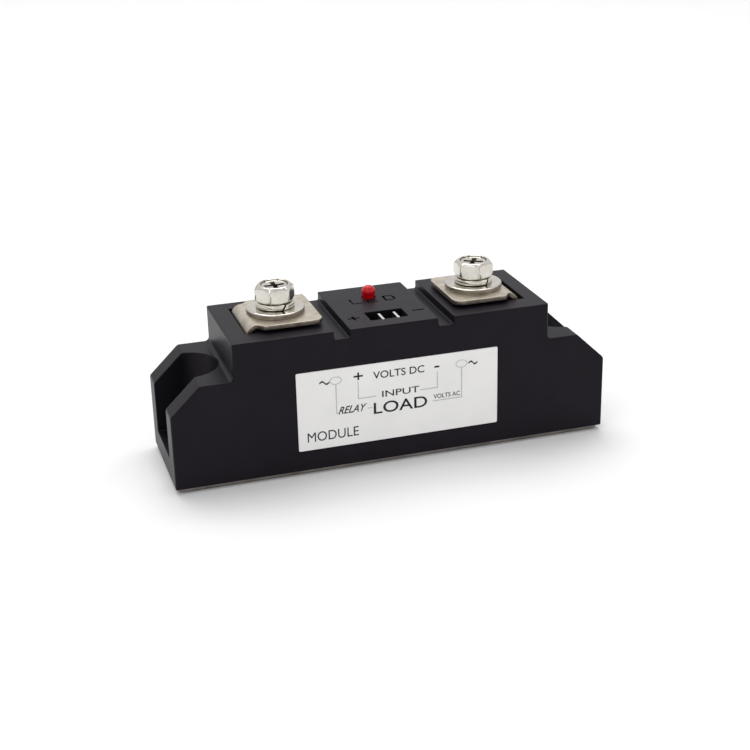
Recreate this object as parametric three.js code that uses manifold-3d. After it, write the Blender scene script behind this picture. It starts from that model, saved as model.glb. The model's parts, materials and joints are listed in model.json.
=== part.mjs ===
// Panel-mount solid state relay module: a moulded housing on a metal base plate, two bolted
// load terminals, a two-blade control input and a status lamp.
// Millimetres, +Z up, front face towards -Y, origin at the centre of the plate's underside.
import * as THREE from "three";
import { mergeVertices } from "three/addons/utils/BufferGeometryUtils.js";
import Module from "manifold-3d";

// ---- driving dimensions ----
const LENGTH = 102;
const WIDTH = 27.3;
const PLATE_PROUD = 1.2; // how far the plate stands out below the housing
const EAR_TOP = 24.9;
const BLOCK_TOP = 33.4;
const BLOCK_HALF = 36.7;

const plate = { thickness: 3, sideInset: 1.0, endInset: 0.5, corner: 1.5 };
const seal = { thickness: 0.3, margin: 0.6, holeMargin: 1 };
const ear = {
  chamferX: 6.9,
  chamferZ: 6.6,
  slotRadius: 7.7,
  slotFloor: 6.4,
  slotInset: 0.6, // wall left between the slot's inner end and the raised block
  footRadius: 1, // fillet where the block rises from the ear
};
const fixing = { x: 44.5, radius: 3.25, stretch: 2 }; // oblong screw holes, 6.5 wide
const cavity = { halfX: 34.7, halfY: 11.65, ceiling: 29.5, corner: 1.5 };
const groove = { from: 10.26, to: 13.9, depth: 1.9 };
const label = { x0: -22.96, x1: 24.35, z0: 6.0, z1: 24.7, thickness: 0.2, margin: 0.25 };

const TERMINAL_X = 23.6;
const strap = {
  top: 35,
  thickness: 1.1,
  freeEnd: { left: 14.8, right: 15.8 },
  outerFace: { left: 32.2, right: 31.8 },
  shoulder: 28.4,
  bendRadius: 2.6,
  tabHalf: 9.2,
  legHalf: 7.6,
  cornerCut: 1.8,
  notch: 1.2, // slope from the wide tab down to the leg's width
  footEnd: 25,
  holeRadius: 2.75,
};
const strapSlot = { left: [30.3, 32.4], right: [29.9, 33.1], y0: -8.1, y1: 9.4 };
const boss = { from: 16.5, to: 29.7, halfY: 7 };
const nut = { acrossFlats: 8, height: 4, boreRadius: 2.62, pocketPlay: 0.15 };
const boltWell = { radius: 2.8, floor: 24 };

const flatWasher = { radius: 6.55, holeRadius: 2.35, thickness: 1.2 };
const springWasher = { radius: 4.4, holeRadius: 2.4, thickness: 1.3, gapDegrees: 8 };
const bolt = {
  acrossFlats: 8,
  headHeight: 3.9,
  threadRadius: 2.45,
  neckRadius: 2.2,
  length: 12,
  dishRadius: 3,
  dishDepth: 0.35,
  crossSpan: 4.4,
  crossWidth: 1,
  crossDepth: 1.8,
  cornerDrop: 0.75,
  crownRadius: 3.7,
};
// Direction of one flat of each hexagon head, seen from above.
const headTurn = { left: -88, right: -121 };

const socket = { x0: -4.25, x1: 4.5, y0: -9.6, y1: -4.2, wall: 1.2, bottom: 23.3 };
const blade = { thickness: 0.6, y0: -8.9, y1: -5.1, top: 33.1 };
const bladeStem = { thickness: 0.5, y0: -8, y1: -6, play: 0.1 };
const bladeX = { positive: -1.1, negative: 2.45 };
const lamp = { x: 0, y: 6, radius: 1.5, flangeRadius: 1.9, flange: 1, length: 5, base: 31.2 };
const lampLead = { half: 0.25, offset: 1.27 };

const board = { halfX: 29, halfY: 10.5, bottom: 17, thickness: 1.6 };
const substrate = { halfX: 33, halfY: 9.5, thickness: 0.7 };
const pad = { inner: 1, outer: 32.2, halfY: 8.5, thickness: 0.3 };
const die = { x: 11, half: 6, thickness: 0.4 };
const clip = { from: 14, foot: 8, landFrom: 2, landTo: 4, y0: 0.8, y1: 5.2, thickness: 0.8, rise: 7.4 };
const wire = { radius: 0.4, gateX: 15.5, gateY: -3, senseX: 11, senseY: 3 };
const gel = { top: 16.7, gap: 0.3, chipHalfX: 17.5, chipHalfY: 6.5, chipTop: 8 };

const ROUND = 48; // sides on holes, washers and shanks
const SMALL = 12; // sides on wires and leads
const CORNER = 5; // steps round a rounded corner or a bend
const ABOVE = 60; // a height clear of everything, for through cuts
const SIDES = [["left", -1], ["right", 1]];

// ---- derived heights ----
const plateTop = plate.thickness;
const shelf = plateTop + seal.thickness;
const plateHalfX = LENGTH / 2 - plate.endInset;
const plateHalfY = WIDTH / 2 - plate.sideInset;
const substrateTop = plateTop + substrate.thickness;
const padTop = substrateTop + pad.thickness;
const dieTop = padTop + die.thickness;
const boardTop = board.bottom + board.thickness;
const nutTop = strap.top - strap.thickness;
const nutFloor = nutTop - nut.height;
const washerTop = strap.top + flatWasher.thickness;
const headBottom = washerTop + springWasher.thickness;
const headTop = headBottom + bolt.headHeight;

const wasm = await Module();
wasm.setup();

// ---- booleans ----
function solid(geometry) {
  const bare = geometry.clone();
  bare.deleteAttribute("normal");
  bare.deleteAttribute("uv");
  const merged = mergeVertices(bare, 1e-4);
  return new wasm.Manifold(
    new wasm.Mesh({
      numProp: 3,
      vertProperties: merged.attributes.position.array,
      triVerts: new Uint32Array(merged.index.array),
    }),
  );
}

function surface(manifold) {
  const mesh = manifold.getMesh();
  const geometry = new THREE.BufferGeometry();
  geometry.setAttribute("position", new THREE.BufferAttribute(mesh.vertProperties, 3));
  geometry.setIndex(new THREE.BufferAttribute(mesh.triVerts, 1));
  const flat = geometry.toNonIndexed();
  flat.computeVertexNormals();
  return flat;
}

function join(...solids) {
  return solids.reduce((whole, next) => whole.add(next));
}

function cut(body, ...tools) {
  return tools.reduce((left, tool) => left.subtract(tool), body);
}

// ---- shapes ----
function box(x0, x1, y0, y1, z0, z1) {
  const geometry = new THREE.BoxGeometry(Math.abs(x1 - x0), Math.abs(y1 - y0), z1 - z0);
  geometry.translate((x0 + x1) / 2, (y0 + y1) / 2, (z0 + z1) / 2);
  return solid(geometry);
}

function prism(shape, z0, z1, curveSegments = CORNER) {
  const options = { depth: z1 - z0, bevelEnabled: false, curveSegments };
  return solid(new THREE.ExtrudeGeometry(shape, options).translate(0, 0, z0));
}

// An outline drawn in X and Z, drawn out along Y.
function sideways(shape, y0, y1) {
  const options = { depth: y1 - y0, bevelEnabled: false, curveSegments: CORNER };
  const geometry = new THREE.ExtrudeGeometry(shape, options);
  return solid(geometry.rotateX(Math.PI / 2).translate(0, y1, 0));
}

function outline(points) {
  return new THREE.Shape(points.map(([x, y]) => new THREE.Vector2(x, y)));
}

function roundedRectangle(halfX, halfY, radius) {
  const shape = new THREE.Shape();
  shape.moveTo(halfX, -halfY + radius);
  shape.absarc(halfX - radius, halfY - radius, radius, 0, Math.PI / 2, false);
  shape.absarc(-halfX + radius, halfY - radius, radius, Math.PI / 2, Math.PI, false);
  shape.absarc(-halfX + radius, -halfY + radius, radius, Math.PI, Math.PI * 1.5, false);
  shape.absarc(halfX - radius, -halfY + radius, radius, Math.PI * 1.5, Math.PI * 2, false);
  return shape;
}

// An upright hole tool with round ends, drawn out along X about the fixing point of one side.
function oblongHole(side, radius, z0, z1) {
  const x = side * fixing.x;
  const shape = new THREE.Shape();
  shape.absarc(x + fixing.stretch / 2, 0, radius, -Math.PI / 2, Math.PI / 2, false);
  shape.absarc(x - fixing.stretch / 2, 0, radius, Math.PI / 2, Math.PI * 1.5, false);
  return prism(shape, z0, z1, ROUND / 4);
}

function hexagon(acrossFlats) {
  const radius = acrossFlats / Math.sqrt(3);
  const corners = [30, 90, 150, 210, 270, 330].map((degrees) => {
    const angle = THREE.MathUtils.degToRad(degrees);
    return [radius * Math.cos(angle), radius * Math.sin(angle)];
  });
  return outline(corners);
}

// A turned shape about a vertical axis, from a profile of [radius, height] points
// that runs from the bottom of the axis to its top.
function turned(profile, sides = ROUND) {
  const points = profile.map(([r, z]) => new THREE.Vector2(r, z));
  return solid(new THREE.LatheGeometry(points, sides).rotateX(Math.PI / 2));
}

function cylinder(radius, z0, z1, sides = ROUND) {
  return turned([[0, z0], [radius, z0], [radius, z1], [0, z1]], sides);
}

function ring(radius, holeRadius, z0, z1) {
  return cylinder(radius, z0, z1).subtract(cylinder(holeRadius, z0 - 1, z1 + 1));
}

// A round lead bent down at both ends: along X between its legs, at the given height.
function bentLead(halfSpan, height, z0, radius) {
  const bend = 0.8;
  const path = new THREE.CurvePath();
  const corner = (a, b, c) => new THREE.QuadraticBezierCurve3(a, b, c);
  const at = (x, z) => new THREE.Vector3(x, 0, z);
  path.add(new THREE.LineCurve3(at(-halfSpan, z0), at(-halfSpan, height - bend)));
  path.add(corner(at(-halfSpan, height - bend), at(-halfSpan, height), at(-halfSpan + bend, height)));
  path.add(new THREE.LineCurve3(at(-halfSpan + bend, height), at(halfSpan - bend, height)));
  path.add(corner(at(halfSpan - bend, height), at(halfSpan, height), at(halfSpan, height - bend)));
  path.add(new THREE.LineCurve3(at(halfSpan, height - bend), at(halfSpan, z0)));
  const section = new THREE.Shape().absarc(0, 0, radius, 0, Math.PI * 2, false);
  const options = { steps: 24, extrudePath: path, curveSegments: SMALL / 3 };
  return solid(new THREE.ExtrudeGeometry(section, options));
}

// ---- materials ----
function finish(color, roughness, metalness) {
  return new THREE.MeshStandardMaterial({ color, roughness, metalness });
}

const blackMoulding = finish(0x232227, 0.55, 0);
const plateAlloy = finish(0x8f8983, 0.45, 0.9);
const sealant = finish(0xb8b6ae, 0.7, 0);
const paper = finish(0xdfdfdd, 0.5, 0);
const nickel = finish(0xc8c0b2, 0.35, 1);
const brightNickel = finish(0xe1dece, 0.18, 1);
const zincSteel = finish(0xb9bcbe, 0.35, 1);
const tin = finish(0xf0eee9, 0.25, 1);
const redLens = finish(0xc8101a, 0.15, 0);
const boardGreen = finish(0x1f6b3a, 0.5, 0);
const ceramicWhite = finish(0xeeeae2, 0.6, 0);
const copper = finish(0xb87348, 0.35, 1);
const silicon = finish(0x5b6068, 0.2, 0.6);
const clearGel = finish(0xcfd6d8, 0.3, 0);
const epoxyBlack = finish(0x1b1b1d, 0.45, 0);
const capacitorYellow = finish(0xd8a521, 0.4, 0);
const resistorBlue = finish(0x7fa9c4, 0.45, 0);
const varistorBlue = finish(0x1f5f9c, 0.4, 0);

const relay = new THREE.Group();
relay.name = "solid_state_relay";

function place(name, shape, material, parent = relay) {
  const mesh = new THREE.Mesh(surface(shape), material);
  mesh.name = name;
  parent.add(mesh);
  return mesh;
}

// ---- housing ----
function housingOutline() {
  const right = [
    [LENGTH / 2, PLATE_PROUD],
    [LENGTH / 2, EAR_TOP - ear.chamferZ],
    [LENGTH / 2 - ear.chamferX, EAR_TOP],
  ];
  for (let i = 0; i <= CORNER; i++) {
    const angle = (-1 - i / CORNER) * (Math.PI / 2);
    const x = BLOCK_HALF + ear.footRadius * (1 + Math.cos(angle));
    right.push([x, EAR_TOP + ear.footRadius * (1 + Math.sin(angle))]);
  }
  right.push([BLOCK_HALF, BLOCK_TOP]);
  const left = right.map(([x, z]) => [-x, z]).reverse();
  return outline([...right, ...left]);
}

function earCuts(side) {
  const centre = BLOCK_HALF + ear.slotInset + ear.slotRadius;
  const slot = join(
    cylinder(ear.slotRadius, ear.slotFloor, ABOVE).translate([side * centre, 0, 0]),
    box(side * centre, side * ABOVE, -ear.slotRadius, ear.slotRadius, ear.slotFloor, ABOVE),
  );
  return slot.add(oblongHole(side, fixing.radius, -1, ear.slotFloor + 1));
}

function cavityWithBosses() {
  const space = prism(
    roundedRectangle(cavity.halfX, cavity.halfY, cavity.corner),
    PLATE_PROUD - 1,
    cavity.ceiling,
  );
  const bosses = [-1, 1].map((side) =>
    box(side * boss.from, side * boss.to, -boss.halfY, boss.halfY, boardTop, ABOVE),
  );
  const w = socket.wall;
  const well = box(socket.x0 - w, socket.x1 + w, socket.y0 - w, socket.y1 + w, socket.bottom, ABOVE);
  return cut(space, ...bosses, well);
}

function terminalCuts(hand, side) {
  const pocket = prism(hexagon(nut.acrossFlats + 2 * nut.pocketPlay), nutFloor - 0.2, ABOVE);
  const well = cylinder(boltWell.radius, boltWell.floor, ABOVE);
  const [from, to] = strapSlot[hand];
  const { y0, y1 } = strapSlot;
  const slot = box(side * from, side * to, y0, y1, cavity.ceiling - 1, ABOVE);
  return pocket.add(well).translate([side * TERMINAL_X, 0, 0]).add(slot);
}

function grooveCut(side) {
  return box(side * groove.from, side * groove.to, -WIDTH, WIDTH, BLOCK_TOP - groove.depth, ABOVE);
}

function lampHole() {
  const hole = cylinder(lamp.radius + 0.15, cavity.ceiling - 1, ABOVE);
  const counterbore = cylinder(lamp.flangeRadius + 0.2, cavity.ceiling - 1, lamp.base + lamp.flange);
  return hole.add(counterbore).translate([lamp.x, lamp.y, 0]);
}

function makeHousing() {
  const body = sideways(housingOutline(), -WIDTH / 2, WIDTH / 2);
  const rebate = roundedRectangle(plateHalfX + 0.15, plateHalfY + 0.15, plate.corner + 0.15);
  const m = label.margin;
  return cut(
    body,
    prism(rebate, 0, shelf),
    cavityWithBosses(),
    earCuts(-1),
    earCuts(1),
    grooveCut(-1),
    grooveCut(1),
    terminalCuts("left", -1),
    terminalCuts("right", 1),
    box(socket.x0, socket.x1, socket.y0, socket.y1, socket.bottom - 1, ABOVE),
    lampHole(),
    box(label.x0 - m, label.x1 + m, -WIDTH, label.thickness - WIDTH / 2, label.z0 - m, label.z1 + m),
  );
}

// ---- base ----
function makePlate() {
  const blank = prism(roundedRectangle(plateHalfX, plateHalfY, plate.corner), 0, plateTop);
  const holes = [-1, 1].map((side) => oblongHole(side, fixing.radius, -1, plateTop + 1));
  return cut(blank, ...holes);
}

function makeSeal() {
  const halfX = plateHalfX - seal.margin;
  const halfY = plateHalfY - seal.margin;
  const blank = prism(roundedRectangle(halfX, halfY, plate.corner), plateTop, shelf);
  const window = prism(roundedRectangle(cavity.halfX, cavity.halfY - 0.6, cavity.corner), 0, ABOVE);
  const holes = [-1, 1].map((side) => oblongHole(side, fixing.radius + seal.holeMargin, 0, ABOVE));
  return cut(blank, window, ...holes);
}

// ---- load terminals ----
// The strap runs from a foot on the copper pad up through the housing and folds over flat.
function strapSection(outerFace) {
  const { top, thickness, bendRadius, shoulder, footEnd } = strap;
  const inner = bendRadius - thickness;
  const innerFace = outerFace - thickness;
  const shape = new THREE.Shape();
  shape.moveTo(footEnd, padTop);
  shape.lineTo(outerFace - bendRadius, padTop);
  shape.absarc(outerFace - bendRadius, padTop + bendRadius, bendRadius, -Math.PI / 2, 0, false);
  shape.lineTo(outerFace, top - bendRadius);
  shape.absarc(outerFace - bendRadius, top - bendRadius, bendRadius, 0, Math.PI / 2, false);
  shape.lineTo(shoulder - 1, top);
  shape.lineTo(shoulder - 1, top - thickness);
  shape.lineTo(innerFace - inner, top - thickness);
  shape.absarc(innerFace - inner, top - thickness - inner, inner, Math.PI / 2, 0, true);
  shape.lineTo(innerFace, padTop + thickness + inner);
  shape.absarc(innerFace - inner, padTop + thickness + inner, inner, 0, -Math.PI / 2, true);
  shape.lineTo(footEnd, padTop + thickness);
  return shape;
}

function makeStrap(hand) {
  const { shoulder, tabHalf, legHalf, cornerCut, notch, top, thickness } = strap;
  const freeEnd = strap.freeEnd[hand];
  const tab = outline([
    [shoulder, -tabHalf],
    [shoulder + notch, -legHalf],
    [shoulder + notch, legHalf],
    [shoulder, tabHalf],
    [freeEnd + cornerCut, tabHalf],
    [freeEnd, tabHalf - cornerCut],
    [freeEnd, cornerCut - tabHalf],
    [freeEnd + cornerCut, -tabHalf],
  ]);
  const hole = cylinder(strap.holeRadius, nutTop - 1, ABOVE).translate([TERMINAL_X, 0, 0]);
  const leg = sideways(strapSection(strap.outerFace[hand]), -legHalf, legHalf);
  return cut(leg.add(prism(tab, top - thickness, top)), hole);
}

function makeNut() {
  const blank = prism(hexagon(nut.acrossFlats), nutFloor, nutTop);
  return blank.subtract(cylinder(nut.boreRadius, 0, ABOVE));
}

function makeSpringWasher() {
  const whole = ring(springWasher.radius, springWasher.holeRadius, washerTop, headBottom);
  const gap = THREE.MathUtils.degToRad(springWasher.gapDegrees / 2);
  const reach = 2 * springWasher.radius;
  const wedge = outline([
    [0, 0],
    [reach * Math.cos(gap), -reach * Math.sin(gap)],
    [reach * Math.cos(gap), reach * Math.sin(gap)],
  ]);
  return whole.subtract(prism(wedge, 0, ABOVE));
}

// Hexagon head with rounded-off corners, a dished top and a cross recess, on a necked shank.
function makeBolt() {
  const head = prism(hexagon(bolt.acrossFlats), headBottom, headTop);
  const reach = bolt.acrossFlats;
  const corner = bolt.acrossFlats / Math.sqrt(3);
  const slope = (corner - bolt.crownRadius) / bolt.cornerDrop;
  const crown = turned([
    [0, headBottom],
    [corner, headBottom],
    [corner, headTop - bolt.cornerDrop],
    [corner - slope * bolt.cornerDrop, headTop],
    [0, headTop],
  ]);
  const dishFloor = headTop - bolt.dishDepth;
  const dish = cylinder(bolt.dishRadius, dishFloor, headTop + 1);
  const half = bolt.crossSpan / 2;
  const thin = bolt.crossWidth / 2;
  const recessFloor = dishFloor - bolt.crossDepth;
  const cross = join(
    box(-half, half, -thin, thin, recessFloor, headTop + 1),
    box(-thin, thin, -half, half, recessFloor, headTop + 1),
  );
  const tip = headBottom - bolt.length;
  const shank = turned([
    [0, tip],
    [bolt.threadRadius - 0.45, tip],
    [bolt.threadRadius, tip + 0.45],
    [bolt.threadRadius, strap.top - 0.4],
    [bolt.neckRadius, strap.top - 0.1],
    [bolt.neckRadius, headBottom + 0.1],
    [0, headBottom + 0.1],
  ]);
  return cut(head.intersect(crown), dish, cross).add(shank);
}

// ---- control input and lamp ----
// A flat contact blade on a narrower stem, which passes down through the header to the board.
function stemBox(x, play, z0, z1) {
  const half = bladeStem.thickness / 2 + play;
  return box(x - half, x + half, bladeStem.y0 - play, bladeStem.y1 + play, z0, z1);
}

function makeBlade(x) {
  const half = blade.thickness / 2;
  const contact = box(x - half, x + half, blade.y0, blade.y1, socket.bottom, blade.top);
  return contact.add(stemBox(x, 0, boardTop, socket.bottom + 1));
}

function makeInputHeader() {
  const w = socket.wall;
  const block = box(
    socket.x0 - w,
    socket.x1 + w,
    socket.y0 - w,
    socket.y1 + w,
    boardTop,
    socket.bottom,
  );
  const slots = Object.values(bladeX).map((x) => stemBox(x, bladeStem.play, 0, ABOVE));
  return cut(block, ...slots);
}

function makeLamp() {
  const { radius, flangeRadius, flange, length } = lamp;
  const shoulderHeight = length - radius;
  const profile = [
    [0, 0],
    [flangeRadius, 0],
    [flangeRadius, flange],
    [radius, flange],
    [radius, shoulderHeight],
  ];
  const steps = 6;
  for (let i = 1; i <= steps; i++) {
    const angle = (i / steps) * (Math.PI / 2);
    const r = i === steps ? 0 : radius * Math.cos(angle);
    profile.push([r, shoulderHeight + radius * Math.sin(angle)]);
  }
  return turned(profile, 24).translate([lamp.x, lamp.y, lamp.base]);
}

function makeLampLead(side) {
  const x = lamp.x + side * lampLead.offset;
  const h = lampLead.half;
  return box(x - h, x + h, lamp.y - h, lamp.y + h, boardTop, lamp.base);
}

// ---- circuit board parts ----
function makeOptocoupler(x, y) {
  const body = box(-3.6, 3.6, -3.2, 3.2, boardTop + 0.6, boardTop + 4);
  const legs = [];
  for (const side of [-1, 1]) {
    for (const pitch of [-2.54, 0, 2.54]) {
      const reach = side * 4;
      legs.push(box(pitch - 0.3, pitch + 0.3, side * 3.1, reach, boardTop + 1.6, boardTop + 2));
      legs.push(box(pitch - 0.3, pitch + 0.3, side * 3.7, reach, boardTop, boardTop + 2));
    }
  }
  return join(body, ...legs).translate([x, y, 0]);
}

// A component with a round body lying along X on two bent leads.
function makeAxial(x, y, bodyRadius, bodyLength, leadRadius) {
  const half = bodyLength / 2;
  const height = boardTop + bodyRadius + 0.4;
  const round = bodyRadius * 0.25;
  const body = turned([
    [0, -half],
    [bodyRadius - round, -half],
    [bodyRadius, -half + round],
    [bodyRadius, half - round],
    [bodyRadius - round, half],
    [0, half],
  ], 24).rotate([0, 90, 0]).translate([0, 0, height]);
  return body.add(bentLead(half + 1.4, height, boardTop, leadRadius)).translate([x, y, 0]);
}

function twoLegs(x, y, spacing, half, z1) {
  return [-1, 1].map((side) => {
    const at = x + (side * spacing) / 2;
    return box(at - half, at + half, y - half, y + half, boardTop, z1);
  });
}

function makeCapacitor(x, y) {
  const body = box(x - 5.9, x + 5.9, y - 2.4, y + 2.4, boardTop + 0.5, boardTop + 9.4);
  return join(body, ...twoLegs(x, y, 10, 0.3, boardTop + 1));
}

function makeVaristor(x, y) {
  const radius = 4.6;
  const disc = cylinder(radius, -1.8, 1.8, 32).rotate([90, 0, 0]);
  const centre = boardTop + 1 + radius;
  return join(disc.translate([x, y, centre]), ...twoLegs(x, y, 5, 0.35, centre - 3));
}

function makeTransistor(x, y) {
  const shape = new THREE.Shape();
  shape.absarc(0, 0, 2.3, -Math.PI / 5, Math.PI * 1.2, false);
  const body = prism(shape, boardTop + 1.2, boardTop + 5.7);
  const legs = [-1.27, 0, 1.27].map((pitch) =>
    box(pitch - 0.2, pitch + 0.2, -0.2, 0.2, boardTop, boardTop + 1.5),
  );
  return join(body, ...legs).translate([x, y, 0]);
}

// ---- power stage ----
function makeClip() {
  const { from, foot, landFrom, landTo, y0, y1, thickness, rise } = clip;
  const shape = outline([
    [from, dieTop],
    [from, dieTop + thickness],
    [foot + thickness, dieTop + thickness],
    [foot + thickness, rise],
    [-landFrom - thickness, rise],
    [-landFrom - thickness, padTop + thickness],
    [-landTo, padTop + thickness],
    [-landTo, padTop],
    [-landFrom, padTop],
    [-landFrom, rise - thickness],
    [foot, rise - thickness],
    [foot, dieTop],
  ]);
  return sideways(shape, y0, y1);
}

function wireAt(x, y, z0, play = 0) {
  return cylinder(wire.radius + play, z0, board.bottom, SMALL).translate([x, y, 0]);
}

// Soft filling between the board and the plate, hollowed over the chips.
function makeGel() {
  const { gap, top, chipHalfX, chipHalfY, chipTop } = gel;
  const halfX = cavity.halfX - gap;
  const halfY = cavity.halfY - 0.6 - gap;
  const fill = prism(roundedRectangle(halfX, halfY, cavity.corner), padTop + gap, top);
  const chips = box(-chipHalfX, chipHalfX, -chipHalfY, chipHalfY, 0, chipTop);
  const tools = [];
  for (const [hand, side] of SIDES) {
    const reachY = strap.legHalf + gap;
    const innerFace = strap.outerFace[hand] - strap.thickness - gap;
    const outerFace = strap.outerFace[hand] + gap;
    tools.push(box(side * innerFace, side * outerFace, -reachY, reachY, 0, ABOVE));
    const footTop = padTop + strap.bendRadius + gap;
    tools.push(box(side * (strap.footEnd - gap), side * outerFace, -reachY, reachY, 0, footTop));
    tools.push(wireAt(side * wire.gateX, side * -wire.gateY, 0, gap));
    tools.push(wireAt(side * wire.senseX, side * -wire.senseY, 0, gap));
  }
  return cut(fill, chips, ...tools);
}

// ---- assembly ----
place("housing", makeHousing(), blackMoulding);
place("base_plate", makePlate(), plateAlloy);
place("base_seal", makeSeal(), sealant);
place(
  "front_label",
  box(label.x0, label.x1, -WIDTH / 2, label.thickness - WIDTH / 2, label.z0, label.z1),
  paper,
);
place("status_lamp", makeLamp(), redLens);
place("lamp_anode_lead", makeLampLead(-1), tin);
place("lamp_cathode_lead", makeLampLead(1), tin);
place("positive_input_blade", makeBlade(bladeX.positive), tin);
place("negative_input_blade", makeBlade(bladeX.negative), tin);
place("input_header", makeInputHeader(), epoxyBlack);

place(
  "control_board",
  box(-board.halfX, board.halfX, -board.halfY, board.halfY, board.bottom, boardTop),
  boardGreen,
);
place("left_optocoupler", makeOptocoupler(-11, -5.4), epoxyBlack);
place("right_optocoupler", makeOptocoupler(11, -5.4), epoxyBlack);
place("snubber_capacitor", makeCapacitor(-9.6, 8.6), capacitorYellow);
place("snubber_resistor", makeAxial(-9.4, 2.6, 2, 8.4, 0.35), resistorBlue);
place("varistor", makeVaristor(9.8, 8.7), varistorBlue);
place("input_resistor", makeAxial(9.8, 4.6, 1.2, 6.5, 0.3), resistorBlue);
place("protection_diode", makeAxial(9.8, 1.3, 1.3, 5.2, 0.4), epoxyBlack);
place("control_transistor", makeTransistor(0, 0.6), epoxyBlack);

place(
  "ceramic_substrate",
  box(-substrate.halfX, substrate.halfX, -substrate.halfY, substrate.halfY, plateTop, substrateTop),
  ceramicWhite,
);
place("silicone_gel", makeGel(), clearGel);

for (const [hand, side] of SIDES) {
  const half = new THREE.Group();
  half.scale.x = side;
  relay.add(half);
  place(
    hand + "_copper_pad",
    box(pad.inner, pad.outer, -pad.halfY, pad.halfY, substrateTop, padTop),
    copper,
    half,
  );
  place(
    hand + "_thyristor_chip",
    box(die.x - die.half, die.x + die.half, -die.half, die.half, padTop, dieTop),
    silicon,
    half,
  );
  place(hand + "_terminal_strap", makeStrap(hand), nickel, half);

  // The chip's clip and wires are turned half round, so that the two clips pass side by side.
  const flip = new THREE.Group();
  flip.rotation.z = side > 0 ? 0 : Math.PI;
  relay.add(flip);
  place(hand + "_cathode_clip", makeClip().translate([0, -clip.y0 - clip.y1, 0]), copper, flip);
  place(hand + "_gate_wire", wireAt(wire.gateX, -wire.gateY, dieTop), tin, flip);
  place(hand + "_cathode_wire", wireAt(wire.senseX, -wire.senseY, dieTop + clip.thickness), tin, flip);

  const terminal = new THREE.Group();
  terminal.position.x = side * TERMINAL_X;
  relay.add(terminal);
  place(hand + "_captive_nut", makeNut(), zincSteel, terminal);
  const washer = ring(flatWasher.radius, flatWasher.holeRadius, strap.top, washerTop);
  place(hand + "_flat_washer", washer, brightNickel, terminal);
  place(hand + "_spring_washer", makeSpringWasher(), brightNickel, terminal);
  const screw = place(hand + "_terminal_bolt", makeBolt(), brightNickel, terminal);
  screw.rotation.z = THREE.MathUtils.degToRad(headTurn[hand]);
}

export default relay;
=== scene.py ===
import json
from math import acos, atan, ceil, cos, degrees, hypot, pi, radians, sin, sqrt

import bmesh
import bpy
from mathutils import Matrix, Vector


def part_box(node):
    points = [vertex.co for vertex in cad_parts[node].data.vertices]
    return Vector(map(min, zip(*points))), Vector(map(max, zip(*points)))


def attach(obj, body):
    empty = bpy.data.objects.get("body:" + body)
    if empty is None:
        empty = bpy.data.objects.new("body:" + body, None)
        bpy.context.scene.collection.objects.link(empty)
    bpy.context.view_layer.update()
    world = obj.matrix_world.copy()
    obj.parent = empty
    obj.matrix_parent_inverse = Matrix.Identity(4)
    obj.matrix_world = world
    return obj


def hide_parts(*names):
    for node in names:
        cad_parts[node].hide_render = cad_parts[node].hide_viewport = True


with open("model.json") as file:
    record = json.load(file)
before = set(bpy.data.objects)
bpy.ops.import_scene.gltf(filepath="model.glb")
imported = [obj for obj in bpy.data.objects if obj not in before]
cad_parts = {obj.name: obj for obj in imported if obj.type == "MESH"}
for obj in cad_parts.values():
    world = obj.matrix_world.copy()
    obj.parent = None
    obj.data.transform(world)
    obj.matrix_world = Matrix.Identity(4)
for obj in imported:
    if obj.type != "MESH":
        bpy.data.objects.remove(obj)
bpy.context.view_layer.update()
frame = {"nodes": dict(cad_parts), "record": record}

MM = 0.001
nodes = frame["nodes"]
SLOTS = {part["node"]: part["material_slot"] for part in frame["record"]["subparts"]}


def box_mm(node):
    """(lowest, highest) corner of a CAD node in millimetres."""
    low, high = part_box(node)
    return [v / MM for v in low], [v / MM for v in high]


# ---------------------------------------------------------------- materials
def new_material(name):
    material = bpy.data.materials.new(name)
    material.use_nodes = True
    return material, material.node_tree.nodes, material.node_tree.links


def set_sockets(node, sockets):
    for socket, value in sockets.items():
        node.inputs[socket].default_value = value


def rgba(color):
    return (*color, 1.0)


def object_space(tree_nodes, links, size_mm, stretch=(1, 1, 1)):
    """Object coordinates in units of size_mm, times stretch along each axis."""
    coordinates = tree_nodes.new("ShaderNodeTexCoord")
    mapping = tree_nodes.new("ShaderNodeMapping")
    mapping.inputs["Scale"].default_value = [1 / (size_mm * MM * s) for s in stretch]
    links.new(coordinates.outputs["Object"], mapping.inputs["Vector"])
    return mapping.outputs["Vector"]


def noise(tree_nodes, links, vector, detail=3.0):
    texture = tree_nodes.new("ShaderNodeTexNoise")
    set_sockets(texture, {"Scale": 1.0, "Detail": detail, "Roughness": 0.55})
    links.new(vector, texture.inputs["Vector"])
    return texture.outputs["Fac"]


def ramp(tree_nodes, links, factor, stops, mode="LINEAR"):
    """A colour ramp with (position, colour) stops, lowest first."""
    node = tree_nodes.new("ShaderNodeValToRGB")
    node.color_ramp.interpolation = mode
    elements = node.color_ramp.elements
    while len(elements) < len(stops):
        elements.new(0.5)
    for element, (position, color) in zip(elements, stops):
        element.position = position
        element.color = rgba(color)
    links.new(factor, node.inputs["Fac"])
    return node.outputs["Color"]


def spread(tree_nodes, links, value, low, high, from_low=0.3, from_high=0.7):
    """Maps from_low..from_high, by default most of a noise's range, onto low..high."""
    node = tree_nodes.new("ShaderNodeMapRange")
    limits = {"From Min": from_low, "From Max": from_high, "To Min": low, "To Max": high}
    set_sockets(node, limits)
    links.new(value, node.inputs["Value"])
    return node.outputs["Result"]


def bump(tree_nodes, links, height, depth_mm, shader, strength=1.0):
    node = tree_nodes.new("ShaderNodeBump")
    set_sockets(node, {"Strength": strength, "Distance": depth_mm * MM})
    links.new(height, node.inputs["Height"])
    links.new(node.outputs["Normal"], shader.inputs["Normal"])


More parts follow.
